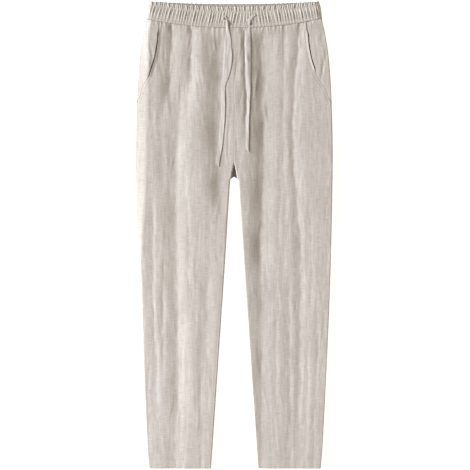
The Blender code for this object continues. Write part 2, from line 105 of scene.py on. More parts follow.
def linen_group():
    """Colour and height of the weave from a cut's own metres."""
    group = bpy.data.node_groups.new("linen_weave", "ShaderNodeTree")
    sockets = group.interface
    sockets.new_socket("Cut", in_out="INPUT", socket_type="NodeSocketVector")
    for name, value in (("Yarn Pitch", 0.0007), ("Slubs", 1.0), ("Mottle", 1.0)):
        socket = sockets.new_socket(name, in_out="INPUT", socket_type="NodeSocketFloat")
        socket.default_value = value
    for name in ("Light Yarn", "Dark Yarn"):
        sockets.new_socket(name, in_out="INPUT", socket_type="NodeSocketColor")
    sockets.new_socket("Color", in_out="OUTPUT", socket_type="NodeSocketColor")
    sockets.new_socket("Height", in_out="OUTPUT", socket_type="NodeSocketFloat")
    nodes, links = group.nodes, group.links
    source = nodes.new("NodeGroupInput")
    result = nodes.new("NodeGroupOutput")

    def math_node(operation, first, second=None, third=None):
        made = nodes.new("ShaderNodeMath")
        made.operation = operation
        for place, value in enumerate((first, second, third)):
            if value is None:
                continue
            if isinstance(value, (int, float)):
                made.inputs[place].default_value = value
            else:
                links.new(value, made.inputs[place])
        return made.outputs[0]

    def streaks(across, along, detail, name):
        """Noise drawn out along one yarn direction."""
        stretch = nodes.new("ShaderNodeVectorMath")
        stretch.operation = "MULTIPLY"
        stretch.inputs[1].default_value = (across, along, 1.0)
        links.new(source.outputs["Cut"], stretch.inputs[0])
        noise = nodes.new("ShaderNodeTexNoise")
        noise.name = name
        noise.noise_dimensions = "2D"
        noise.inputs["Scale"].default_value = 1.0
        noise.inputs["Detail"].default_value = detail
        noise.inputs["Roughness"].default_value = 0.6
        links.new(stretch.outputs[0], noise.inputs["Vector"])
        return noise.outputs["Fac"]

    split = nodes.new("ShaderNodeSeparateXYZ")
    links.new(source.outputs["Cut"], split.inputs[0])
    # Plain weave: the two yarns pass over each other in turn.
    turn_u = math_node("DIVIDE", split.outputs["X"], source.outputs["Yarn Pitch"])
    turn_v = math_node("DIVIDE", split.outputs["Y"], source.outputs["Yarn Pitch"])
    wave_u = math_node("SINE", math_node("MULTIPLY", turn_u, math.pi))
    wave_v = math_node("SINE", math_node("MULTIPLY", turn_v, math.pi))
    weave = math_node("ABSOLUTE", math_node("MULTIPLY", wave_u, wave_v))
    # Slubs: warp yarns run down the cut, weft yarns across it. Broad bands and clouds are where
    # the yarn was spun or bleached unevenly.
    warp = streaks(620.0, 48.0, 3.0, "warp_slubs")
    weft = streaks(52.0, 600.0, 3.0, "weft_slubs")
    broad = streaks(170.0, 9.0, 2.0, "broad_warp")
    cloud = streaks(16.0, 11.0, 2.0, "cloud")
    slub = math_node("MULTIPLY_ADD", warp, 0.40, math_node("MULTIPLY", weft, 0.38))
    slub = math_node("MULTIPLY_ADD", broad, 0.22, slub)
    slub = math_node("MULTIPLY", math_node("SUBTRACT", slub, 0.5), source.outputs["Slubs"])
    tint = math_node("MULTIPLY", math_node("SUBTRACT", cloud, 0.5), source.outputs["Mottle"])
    # The share of light yarn, from slubs, clouds and the weave itself.
    share = math_node("MULTIPLY_ADD", slub, 3.8, 0.55)
    share = math_node("MULTIPLY_ADD", tint, 0.5, share)
    share = math_node("MULTIPLY_ADD", math_node("SUBTRACT", weave, 0.4), 0.25, share)
    share = math_node("MINIMUM", math_node("MAXIMUM", share, 0.0), 1.0)
    mix = nodes.new("ShaderNodeMix")
    mix.data_type = "RGBA"
    links.new(share, mix.inputs["Factor"])
    links.new(source.outputs["Dark Yarn"], mix.inputs["A"])
    links.new(source.outputs["Light Yarn"], mix.inputs["B"])
    links.new(mix.outputs["Result"], result.inputs["Color"])
    height = math_node("MULTIPLY_ADD", slub, 1.6, math_node("MULTIPLY", weave, 0.35))
    links.new(height, result.inputs["Height"])
    return group


def linen(name, light, dark, slubs=1.0, mottle=1.0):
    """A linen finish with its own pair of yarn colours."""
    made = bpy.data.materials.new(name)
    made.use_nodes = True
    nodes, links = made.node_tree.nodes, made.node_tree.links
    shader = nodes["Principled BSDF"]
    shader.inputs["Roughness"].default_value = 0.88
    shader.inputs["Specular IOR Level"].default_value = 0.22
    shader.inputs["Sheen Weight"].default_value = 0.18
    shader.inputs["Sheen Roughness"].default_value = 0.5
    cut = nodes.new("ShaderNodeUVMap")
    cut.uv_map = "cut"
    weave = nodes.new("ShaderNodeGroup")
    weave.node_tree = LINEN_WEAVE
    weave.inputs["Slubs"].default_value = slubs
    weave.inputs["Mottle"].default_value = mottle
    weave.inputs["Light Yarn"].default_value = (*light, 1.0)
    weave.inputs["Dark Yarn"].default_value = (*dark, 1.0)
    relief = nodes.new("ShaderNodeBump")
    relief.inputs["Strength"].default_value = 0.35
    relief.inputs["Distance"].default_value = 0.0005
    links.new(cut.outputs["UV"], weave.inputs["Cut"])
    links.new(weave.outputs["Color"], shader.inputs["Base Color"])
    links.new(weave.outputs["Height"], relief.inputs["Height"])
    links.new(relief.outputs["Normal"], shader.inputs["Normal"])
    return made


LINEN_WEAVE = linen_group()
body_linen = linen("undyed_linen", (0.645, 0.612, 0.555), (0.475, 0.445, 0.390))

# ---------------------------------------------------------------------------------------------
# The two fronts: one cut piece each, from the waistband seam to the hem, cut away along the
# slanted pocket, with the hem turned up and the cut-on fly turned under at the centre. They are
# joined down the centre front, lie over the backs and carry the long folds.
TOP = 0.5150
HEM = -0.5150
WAIST_SEAM = 0.4742
FRONT_CROTCH = 0.1575
BACK_CROTCH = 0.1256
INNER_RIM = 0.0030
CLOTH = 0.0012
SIDES = ((-1, "left"), (1, "right"))

# Along the garment: place, half width, rounded outer edge, height, seam height.
FORM = np.array((
    (-0.5150, 0.1912, 0.0055, 0.0132, 0.0044),
    (-0.4740, 0.1945, 0.0055, 0.0136, 0.0044),
    (-0.3640, 0.2004, 0.0062, 0.0144, 0.0046),
    (-0.2540, 0.2058, 0.0085, 0.0147, 0.0048),
    (-0.1440, 0.2104, 0.010, 0.0154, 0.0050),
    (-0.0340, 0.2139, 0.012, 0.0160, 0.0052),
    (0.0760, 0.2163, 0.024, 0.0164, 0.0055),
    (0.1860, 0.2174, 0.029, 0.0165, 0.0055),
    (0.2960, 0.2148, 0.028, 0.0165, 0.0055),
    (0.3620, 0.2112, 0.025, 0.0162, 0.0055),
    (0.4060, 0.2067, 0.020, 0.0156, 0.0055),
    (0.4460, 0.2000, 0.015, 0.0148, 0.0055),
    (0.4720, 0.1943, 0.013, 0.0132, 0.0055),
    (0.4980, 0.1913, 0.011, 0.0120, 0.0052),
    (0.5150, 0.1868, 0.010, 0.0110, 0.0050),
))
OUTER, RIM, HEIGHT, SEAM = 1, 2, 3, 4
# The right side's outer edge turns down more sharply than the table of rounded edges says.
RIGHT_RIM = 0.0026

# The inner edge of a leg: place, half width of the gap, how far the edge has rounded over, the
# angle of the inside leg seam on it (0 at the edge, 90 on top).
INSIDE = np.array((
    (-0.5150, 0.0508, 1.0, 38.0),
    (-0.1440, 0.0255, 1.0, 38.0),
    (-0.1200, 0.0239, 1.0, 36.0),
    (-0.0340, 0.0182, 1.0, 6.0),
    (0.0760, 0.0114, 1.0, 0.0),
    (0.1200, 0.0084, 1.0, 0.0),
    (0.1236, 0.0068, 1.0, 0.0),
    (0.1256, 0.0058, 1.0, 0.0),
    (0.1420, 0.0028, 0.9, 0.0),
    (0.1575, 0.0002, 0.0, 0.0),
))
EDGE, TURNED, ANGLE = 1, 2, 3

# The slanted pocket edge: place along the garment, half width there.
POCKET = np.array((
    (0.2860, 0.2153), (0.3030, 0.2080), (0.3230, 0.2010), (0.3380, 0.1916), (0.3510, 0.1840),
    (0.3690, 0.1780), (0.3890, 0.1718), (0.4230, 0.1661), (0.4500, 0.1639), (0.4760, 0.1620),
))
POCKET_FOOT = 0.2860
# By side: where the pocket starts to stand open, and how much further in its edge lies there.
POCKET_MOUTH_FOOT = {-1: 0.3480, 1: 0.3610}
POCKET_SHIFT = {-1: -0.0016, 1: 0.0022}
POCKET_STITCH = 0.0060
FLY_CURVE = 0.3080
FLY_FOOT = 0.2890
FLY_WIDTH = 0.0152
FLY_END = 0.0060
LEG_STITCH = 0.0058
HEM_DEPTH = 0.020

# The waist dips at the centre: half width of the dip, and how deep it is on the fronts.
DIP_REACH = 0.190
FRONT_DIP = 0.0195
# The cut is wider than the laid cloth, by what the folds take up.
CUT_EASE = 1.09


def through(rows, column, y):
    """A column's value at y, on a smooth curve through the rows."""
    places, values = rows[:, 0], rows[:, column]
    y = np.clip(y, places[0], places[-1])
    slopes = np.gradient(values, places)
    slopes[1:-1] = (values[2:] - values[:-2]) / (places[2:] - places[:-2])
    at = np.clip(np.searchsorted(places, y, side="right") - 1, 0, len(places) - 2)
    span = places[at + 1] - places[at]
    t = (y - places[at]) / span
    return ((2 * t**3 - 3 * t**2 + 1) * values[at] + (t**3 - 2 * t**2 + t) * span * slopes[at]
            + (3 * t**2 - 2 * t**3) * values[at + 1] + (t**3 - t**2) * span * slopes[at + 1])


def soft(low, high, value):
    """0 below low, 1 above high, with soft ends."""
    share = np.clip((value - low) / (high - low), 0.0, 1.0)
    return share * share * (3 - 2 * share)


def on_line(off, width):
    """1 on a line and soft to 0 beside it, within about twice the width."""
    return np.exp(-(off / width)**2)


# Each trough between two folds, in millimetres: its top and bottom, its place at five even
# stations from the top, how far the cloth falls into it from the left and over what width above
# and below, how far it rises on the right and over what width above and below, and how soft the
# crease is above and below. The first row on the left is a long gentle ramp and not a trough: it
# levels the thigh between two folds.
LEFT_TROUGHS = (
    (470, 10, (-76, -76, -80, -78, -74), -5.0, 120, 120, 0.0, 10, 10, 6, 6),
    (478, 250, (-137, -138, -141, -144, -147), 5.0, 24, 26, 3.2, 20, 34, 0.4, 6),
    (478, 240, (-93.5, -94, -96, -99, -104), 3.8, 20, 24, 4.6, 22, 28, 0.4, 7),
    (400, -520, (-112, -127, -128, -124, -132), 4.4, 50, 26, 6.2, 26, 34, 6, 4),
    (470, 10, (-31, -30, -35, -30, -26), 8.0, 36, 30, 1.6, 26, 26, 12, 6),
    (290, 140, (-13.5, -13, -13, -12.5, -12), 0.8, 3, 3, 0.8, 7, 7, 0.5, 0.5),
    (130, -450, (-178, -179, -178, -171, -176), 1.3, 20, 20, 1.5, 8, 9, 2, 2),
    (-60, -330, (-154, -156, -157, -156, -157), 1.2, 14, 14, 1.3, 9, 10, 2, 2),
    (205, -190, (-99, -107, -100, -100, -98), 1.0, 12, 12, 1.0, 9, 9, 1.5, 1.5),
    (-50, -520, (-70, -70, -72, -74, -72), 1.5, 14, 14, 1.2, 36, 34, 3, 3),
    (-30, -330, (-56, -57, -58, -60, -62), 1.2, 14, 14, 1.2, 16, 14, 4, 4),
    (340, 40, (-158, -160, -162, -158, -160), 0.6, 12, 12, 0.6, 12, 12, 4, 4),
    (-240, -520, (-190, -190, -189, -187, -184), 0.8, 10, 10, 0.9, 7, 7, 1, 1),
    (-260, -520, (-120, -121, -119, -117, -117), 0.7, 9, 9, 0.8, 9, 9, 1, 1),
)
RIGHT_TROUGHS = (
    (474, -110, (63, 66, 66, 61, 57), 9.0, 34, 36, 3.6, 40, 60, 8, 3),
    (30, -520, (59, 61, 61, 61, 63), 4.8, 36, 30, 2.4, 40, 40, 5, 5),
    (478, -50, (112, 109, 108, 111, 114), 0.9, 18, 14, 1.1, 14, 14, 1.5, 3),
    (478, -520, (145, 129, 144, 144, 138), 2.2, 15, 24, 3.6, 24, 34, 1.0, 4),
    (480, 185, (25.0, 22.9, 25.8, 26.0, 24.2), 3.4, 9, 9, 1.6, 7, 6, 0.5, 0.5),
    (-60, -520, (121, 121, 122, 123, 122), 1.6, 26, 26, 1.3, 10, 10, 2, 2),
    (120, -180, (168, 166, 170, 172, 172), 0.9, 14, 14, 0.9, 8, 8, 1, 1),
    (-150, -520, (184, 184, 180, 176, 176), 0.9, 10, 10, 0.9, 7, 7, 1, 1),
    (60, -90, (162, 162, 163, 163, 164), 0.6, 12, 12, 0.6, 7, 7, 1, 1),
    (150, -60, (100, 102, 100, 98, 100), 0.7, 12, 12, 0.8, 9, 9, 1, 1),
    (-200, -520, (160, 162, 160, 157, 158), 0.9, 10, 10, 0.9, 8, 8, 1, 1),
    (-60, -400, (92, 93, 92, 92, 94), 0.7, 12, 12, 0.8, 9, 9, 1, 1),
)


def trough_relief(troughs, x, y):
    """How a set of long troughs shapes a stretch of cloth, in metres."""
    total = np.zeros_like(x)
    for row in troughs:
        top, bottom, places, fall, fall_a, fall_b, rise, rise_a, rise_b, soft_a, soft_b = row
        top, bottom = top / 1000, bottom / 1000
        stations = np.linspace(bottom, top, 5)
        route = np.column_stack((stations, np.array(places[::-1]) / 1000))
        down = np.clip((top - y) / (top - bottom), 0.0, 1.0)
        crease = (soft_a + (soft_b - soft_a) * down**2) / 1000
        phase = top * 37 + bottom * 53
        wander = 0.0010 * np.sin(61 * y + phase) + 0.0006 * np.sin(173 * y + 2 * phase)
        uneven = 0.86 + 0.14 * np.sin(47 * y + 3 * phase)
        off = x - through(route, 1, y) - wander
        away = np.sqrt(off**2 + crease**2) - crease
        left = 1 - np.clip(away / (fall_a + (fall_b - fall_a) * down) * 1000, 0.0, 1.0)
        right = 1 - np.clip(away / (rise_a + (rise_b - rise_a) * down) * 1000, 0.0, 1.0)
        shape = np.where(off < 0, -fall * left**2, rise - fall - rise * right**2)
        if places[0] < 0:
            # On both halves the cloth keeps its height towards the centre of the garment.
            shape = shape + fall - rise
        # Troughs that start at the waistband start at once, and those that reach the hem run out
        # of it. The others fade at both ends.
        tail = min(0.35 * (top - bottom), 0.11)
        if top > 0.475:
            head = 0.012
        elif top > 0.46:
            head = 0.030
        else:
            head = tail
        ends = 1 - soft(top - head, top, y)
        if bottom >= -0.50:
            ends = soft(bottom, bottom + tail, y) * ends
        total += shape / 1000 * ends * uneven
    return total * (0.5 + 0.5 * soft(HEM, -0.30, y))


def crinkle_relief(seed, count, low_x, high_x, low_y, high_y, x, y):
    """Small crinkles, mostly along the warp, uneven in length, depth and spacing."""
    random = np.random.default_rng(seed)
    total = np.zeros_like(x)
    for _ in range(count):
        centre_x = random.uniform(low_x, high_x)
        centre_y = random.uniform(low_y, high_y)
        length = random.uniform(0.008, 0.050)
        width = random.uniform(0.0018, 0.0050)
        lean = random.normal(0.0, 0.12)
        height = random.uniform(-0.00040, 0.00040)
        across = (x - centre_x - lean * (y - centre_y)) / width
        along = (y - centre_y) / length
        near = (np.abs(across) < 2.6) & (np.abs(along) < 2.2)
        total[near] += height * np.exp(-across[near]**2 - along[near]**2 * 1.6)
    return total


def gather_relief(seed, x, y):
    """Short tucks that run down from the waistband seam and die out."""
    random = np.random.default_rng(seed)
    total = np.zeros_like(x)
    place = -DIP_REACH
    while place < DIP_REACH:
        place += random.uniform(0.0055, 0.0125)
        length = random.choice((0.007, 0.010, 0.015, 0.026))
        height = random.uniform(0.0006, 0.0019) * min(1.0, 0.010 / length)
        lean = random.normal(0.0, 0.10)
        width = random.uniform(0.0020, 0.0042)
        below = WAIST_SEAM - y
        across = (x - place - lean * below) / width
        share = np.where(across < 0, on_line(across, 0.6), on_line(across, 1.3))
        total += height * share * on_line(below, length)
    return total


def towards_centre(x):
    """1 at the centre of the garment and 0 at its sides, along the curve of the waist."""
    return 1 - np.minimum(np.abs(x) / DIP_REACH, 1.0)**2.2


def waist_dip(x, y, depth=FRONT_DIP):
    """How far the stations of a front or a back dip towards the centre of the waist."""
    return depth * towards_centre(x) * soft(0.30, 0.47, y)


def rim_share(across):
    """How far a rounded outer edge has risen: straight at first, then rolling over."""
    across = np.clip(across, 0.0, 1.0)
    return np.where(across < 0.6, 1.25 * across, 1 - 1.5625 * (1 - across)**2)


def front_height(side, x, y):
    """The outside of a front above the table, at a place across and a station along it."""
    distance = through(FORM, OUTER, y) - np.abs(x)
    rim = through(FORM, RIM, y)
    if side > 0:
        rim = np.minimum(rim, RIGHT_RIM)
    share = rim_share(distance / rim)
    seam = through(FORM, SEAM, y)
    relief = trough_relief(LEFT_TROUGHS if side < 0 else RIGHT_TROUGHS, x, y)
    # The crinkles are deeper towards the hips.
    crinkles = crinkle_relief(11 + side, 560, min(0, side * 0.22), max(0, side * 0.22),
                              HEM, WAIST_SEAM, x, y)
    relief += crinkles * (0.9 + 0.7 * soft(0.10, 0.42, y))
    relief += gather_relief(31 + side, x, y)
    relief -= 0.0006 * on_line(WAIST_SEAM - y, 0.0035)
    # The turned hem is thicker, with a groove above its edge.
    hem_edge = HEM + HEM_DEPTH
    relief += 0.0004 * (1 - soft(hem_edge - 0.001, hem_edge + 0.001, y))
    relief -= 0.0009 * on_line(y - hem_edge - 0.0005, 0.0012)
    laid = seam + (through(FORM, HEIGHT, y) - seam) * share
    return laid + relief * soft(0.0, 1.0, distance / rim)


def lay_cloth(name, columns, rows, shape, cloths, facing_down=False, thickness=CLOTH):
    """A sheet of cloth laid over a form, with its cut in metres as UV and its own thickness.

    shape(u, v) gives the points and the cut for places across (0 to 1) and along (0 to 1). cloths
    holds the material of its outside, and of its inside where that differs.
    """
    bpy.ops.object.select_all(action="DESELECT")
    bpy.ops.mesh.primitive_grid_add(x_subdivisions=columns, y_subdivisions=rows, size=1.0)
    sheet = bpy.context.object
    sheet.name = name
    mesh = sheet.data
    flat = np.empty(len(mesh.vertices) * 3)
    mesh.vertices.foreach_get("co", flat)
    flat = flat.reshape(-1, 3)
    u, v = flat[:, 0] + 0.5, flat[:, 1] + 0.5
    points, cut = shape(u, v)
    mesh.vertices.foreach_set("co", np.column_stack(points).ravel())
    layer = mesh.uv_layers[0]
    layer.name = "cut"
    corners = np.empty(len(mesh.loops), dtype=np.int32)
    mesh.loops.foreach_get("vertex_index", corners)
    layer.data.foreach_set("uv", np.column_stack(cut)[corners].ravel())
    mesh.update()
    if facing_down:
        bpy.ops.object.mode_set(mode="EDIT")
        bpy.ops.mesh.select_all(action="SELECT")
        bpy.ops.mesh.flip_normals()
        bpy.ops.object.mode_set(mode="OBJECT")
    for cloth in cloths:
        mesh.materials.append(cloth)
    wall = sheet.modifiers.new("thickness", "SOLIDIFY")
    wall.thickness = thickness
    wall.offset = -1.0
    wall.material_offset = len(cloths) - 1
    bpy.ops.object.modifier_apply(modifier=wall.name)
    bpy.ops.object.shade_smooth()
    return sheet


def pocket_start(side, y):
    """How far inside the outer edge the pocket edge of a front lies."""
    shift = POCKET_SHIFT[side] * soft(0.303, 0.36, y)
    start = through(FORM, OUTER, y) - through(POCKET, 1, y) + shift
    return np.where(y > POCKET_FOOT, np.maximum(start, 0.0), 0.0)


def pocket_mouth(side, y):
    """How far the pocket stands open: shut at its foot and again near the waistband."""
    foot = POCKET_MOUTH_FOOT[side]
    return soft(foot - 0.008, foot + 0.008, y) * (1 - 0.95 * soft(0.444, 0.460, y))


def inner_turn(side, y, angle):
    """A point on the rounded inner edge of a leg."""
    inner = through(INSIDE, EDGE, y)
    middle = through(FORM, SEAM, y)
    top = front_height(side, side * (inner + INNER_RIM), y)
    turn = np.radians(angle)
    reach = np.where(angle > 0, top - middle, middle)
    return side * (inner + INNER_RIM * (1 - np.cos(turn))), middle + reach * np.sin(turn)


def fly_edge(y):
    """Where the fly's stitching runs: straight down, then curving in to the centre seam."""
    down = np.clip((FLY_CURVE - y) / (FLY_CURVE - FLY_FOOT), 0.0, 1.0)
    return FLY_END + (FLY_WIDTH - FLY_END) * np.sqrt(np.maximum(1 - down**2, 0.0))


def front_form(side):
    """The laid form of one front."""
    def shape(u, v):
        w = u if side < 0 else 1 - u
        y = HEM + (WAIST_SEAM - HEM) * v
        outer = through(FORM, OUTER, y)
        rim = through(FORM, RIM, y)
        start = pocket_start(side, y)
        turned = np.where(y < FRONT_CROTCH, through(INSIDE, TURNED, y), 0.0)
        inner = np.where(y < FRONT_CROTCH, through(INSIDE, EDGE, y), 0.0)
        edge_share, inner_share = 0.14, 0.07
        on_rim = w < edge_share
        on_inner = w > 1 - inner_share
        rim_place = rim * np.clip(w / edge_share, 0, 1)**1.5
        far = outer - start - rim
        near = inner + INNER_RIM
        across = np.clip((w - edge_share) / (1 - edge_share - inner_share), 0, 1)
        x = np.where(on_rim, outer - start - rim_place, far + (near - far) * across)
        step = np.clip((w - 1 + inner_share) / inner_share, 0, 1)
        flat_x = np.maximum(INNER_RIM * (1 - step), 0.0)
        x = side * np.where(on_inner & (turned == 0), flat_x, x)
        z = front_height(side, x, y)
        # Below the crotch the inner edge rolls over to the inside leg seam.
        angle = 90 + (through(INSIDE, ANGLE, y) - 90) * step
        turn_x, turn_z = inner_turn(side, y, angle)
        lie_x = side * flat_x
        lie_z = front_height(side, lie_x, y)
        rounded = on_inner & (turned > 0)
        x = np.where(rounded, lie_x + (turn_x - lie_x) * turned, x)
        z = np.where(rounded, lie_z + (turn_z - lie_z) * turned, z)
        # The pocket edge is turned under, so it stands proud where the pocket is open. It is held
        # down where it is shut, and the stitches pull in a groove beside it.
        at_edge = np.where(y > POCKET_FOOT, outer - start - np.abs(x), 1.0)
        mouth = pocket_mouth(side, y)
        z = z + 0.0012 * mouth * on_line(at_edge, 0.0026)
        z = z - 0.0004 * (1 - mouth) * on_line(at_edge, 0.0020)
        z = z - 0.00045 * on_line(at_edge - POCKET_STITCH, 0.0012)
        if side > 0:
            # The fly extension is a second layer beside the centre seam.
            fly = x - fly_edge(y)
            above_foot = soft(FLY_FOOT - 0.003, FLY_FOOT, y)
            z = z + 0.0005 * (1 - soft(-0.0002, 0.0016, fly)) * above_foot
            z = z - 0.0004 * on_line(fly, 0.0011) * above_foot
        else:
            # The lower leg has a row of stitches beside its inner edge.
            felled = np.abs(x) - inner - LEG_STITCH
            z = z - 0.0005 * on_line(felled, 0.0010) * (1 - soft(-0.10, -0.06, y))
        centre_seam = on_line(x, 0.0012) * soft(FRONT_CROTCH - 0.02, FRONT_CROTCH, y)
        z = z - 0.00018 * centre_seam
        cut = (np.abs(x) * CUT_EASE * side, y)
        return (x, y - waist_dip(x, y), z), cut
    return shape


for side, word in SIDES:
    front = lay_cloth("front_" + word + "_linen", 138, 340, front_form(side), [body_linen])
    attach(front, "root")
    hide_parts("front_" + word)

# ---------------------------------------------------------------------------------------------
# The two backs: one cut piece each, flat on the table, turned up at the side seam and round the
# inside of the leg to the inside leg seam.
BACK_ROLL = 0.006
BACK_DIP = 0.0110
BACK_TROUGHS = (
    (470, -480, (95, 108, 118, 112, 110), 1.6, 34, 30, 1.6, 18, 22, 3, 5),
    (470, 60, (150, 148, 150, 156, 160), 1.2, 18, 20, 1.2, 14, 16, 3, 4),
    (440, 120, (45, 42, 40, 42, 46), 1.1, 18, 18, 1.1, 14, 16, 3, 4),
    (60, -480, (160, 158, 152, 150, 150), 1.2, 20, 18, 1.2, 14, 14, 3, 4),
)


def back_form(side):
    """The laid form of one back."""
    def shape(u, v):
        w = u if side < 0 else 1 - u
        y = HEM + (WAIST_SEAM - HEM) * v
        outer = through(FORM, OUTER, y)
        seam = through(FORM, SEAM, y)
        legs = y < BACK_CROTCH - 0.001
        inner = np.where(legs, through(INSIDE, EDGE, y), 0.0)
        roll_share, inner_share = 0.10, 0.16
        turn = np.radians(90 * np.clip(w / roll_share, 0, 1))
        far = outer - BACK_ROLL
        near = inner + INNER_RIM
        across = np.clip((w - roll_share) / (1 - roll_share - inner_share), 0, 1)
        on_roll = w < roll_share
        x = np.where(on_roll, outer - BACK_ROLL * (1 - np.cos(turn)), far + (near - far) * across)
        z = np.where(on_roll, seam * (1 - np.sin(turn)), 0.0)
        step = np.clip((w - 1 + inner_share) / inner_share, 0, 1)
        flat_x = np.maximum(INNER_RIM * (1 - step), 0.0)
        angle = -90 + (through(INSIDE, ANGLE, y) + 90) * step
        turn_x, turn_z = inner_turn(side, y, angle)
        on_inner = w > 1 - inner_share
        x = side * np.where(on_inner & ~legs, flat_x, x)
        x = np.where(on_inner & legs, turn_x, x)
        z = np.where(on_inner & legs, turn_z, z)
        # Small folds lift the flat part off the table, and die out before its edges.
        lift = -trough_relief(BACK_TROUGHS, side * x, y)
        flat_part = soft(0.0, 0.02, outer - np.abs(x)) * soft(0.0, 0.015, np.abs(x) - inner)
        z = z + lift * flat_part * np.where(on_inner | on_roll, 0.0, 1.0)
        return (x, y - waist_dip(x, y, BACK_DIP), z), (x * CUT_EASE, y)
    return shape


for side, word in SIDES:
    back = lay_cloth("back_" + word + "_linen", 64, 160, back_form(side), [body_linen],
                     facing_down=True)
    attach(back, "root")
    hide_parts("back_" + word)

# ---------------------------------------------------------------------------------------------
# The hip facings: the tops of the pocket bags, in the same linen, sewn into the waist and side
# seams. They show outside the slanted pocket edges and go on under the fronts.
FACING_FOOT = 0.2890
FACING_UNDER = 0.016
FACING_FLOOR = 0.0050


def facing_form(side):
    """The laid form of a hip facing; it sinks under the pocket edge."""
    def shape(u, v):
        w = u if side < 0 else 1 - u
        y = FACING_FOOT + (WAIST_SEAM - FACING_FOOT) * v
        outer = through(FORM, OUTER, y)
        start = pocket_start(side, y)
        reach = (start + FACING_UNDER) * (1 - np.cos(np.radians(90 * w)))
        x = side * (outer - reach)
        tucked = 1 - soft(FACING_FOOT, FACING_FOOT + 0.014, y)
        # It drops away just before the pocket edge, deeper and over a longer way at the mouth.
        mouth = pocket_mouth(side, y)
        past = reach - start + 0.0003 + 0.0023 * mouth
        under = soft(0.0, 1.0, past / (0.0005 + 0.0009 * mouth)) * (start > 0.004)
        sink = np.maximum(tucked * 0.0016, under * (0.0014 + 0.0066 * mouth))
        laid = front_height(side, x, y)
        z = laid - np.minimum(sink, laid - FACING_FLOOR)
        return (x, y - waist_dip(x, y), z), (x * CUT_EASE + 0.03, y + 0.01)
    return shape


for side, word in SIDES:
    facing = lay_cloth("pocket_facing_" + word + "_linen", 60, 100, facing_form(side),
                       [body_linen])
    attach(facing, "root")
    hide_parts("pocket_facing_" + word)

# ---------------------------------------------------------------------------------------------
# The waistband: a strip of the same linen folded over a wide elastic and stitched in rows, so it
# puckers into leaning pleats, with a small ruffled heading above the elastic. The front length
# lies on top, the back length underneath, seamed at the sides.
BAND_BOTTOM = 0.4745
BAND_FRONT_CLOTH = 0.0022
BAND_BACK_CLOTH = 0.0026
BACK_BAND_ROLL = 0.0065
FRONT_TOP_DIP = 0.0125
BACK_TOP_DIP = 0.0060
EYELET = (-0.0203, 0.4742)
# The band's cut is about twice as long as the band lies.
BAND_GATHER = 2.1
# The rows of stitches, as shares of the band's height: its seam, and both edges of the elastic.
BAND_STITCHES = (0.03, 0.17, 0.73)


def pleats(x, v, pitch, lean, seed):
    """A row of uneven gathers across the band: 0 in the troughs, 1 on the crests."""
    wander = 0.32 * np.sin(31.0 * x + seed) + 0.22 * np.sin(83.0 * x + 2.1 * seed)
    wander += 0.12 * np.sin(171.0 * x + 0.7 * seed)
    phase = (x - lean * (v - 0.45)) / pitch + wander
    number = np.floor(phase)
    place = phase - number
    strength = 0.62 + 0.38 * np.sin(number * 2.7 + seed) * np.cos(number * 1.3)
    sharp = 0.30
    ridge = np.where(place < sharp, soft(0.0, sharp, place), 1 - soft(sharp, 1.0, place))
    return ridge * strength


def pinch(v):
    """How free the gathers are at each height of the band, tight at the rows of stitches."""
    rows = np.array(((0.00, 0.20), (0.09, 0.34), (0.17, 0.30), (0.24, 0.70), (0.40, 1.0),
                     (0.60, 1.0), (0.70, 0.60), (0.74, 0.35), (0.82, 0.20), (1.0, 0.10)))
    return through(rows, 1, v)


def across_band(u, outer, roll, end):
    """Places across the band, with a share of it at each end rolled round to the side seam."""
    inside = outer - roll
    turn_left = np.radians(90 * np.clip(u / end, 0, 1))
    turn_right = np.radians(90 * np.clip((1 - u) / end, 0, 1))
    x = -inside + 2 * inside * np.clip((u - end) / (1 - 2 * end), 0, 1)
    x = np.where(u < end, -(outer - roll * (1 - np.cos(turn_left))), x)
    return np.where(u > 1 - end, outer - roll * (1 - np.cos(turn_right)), x)


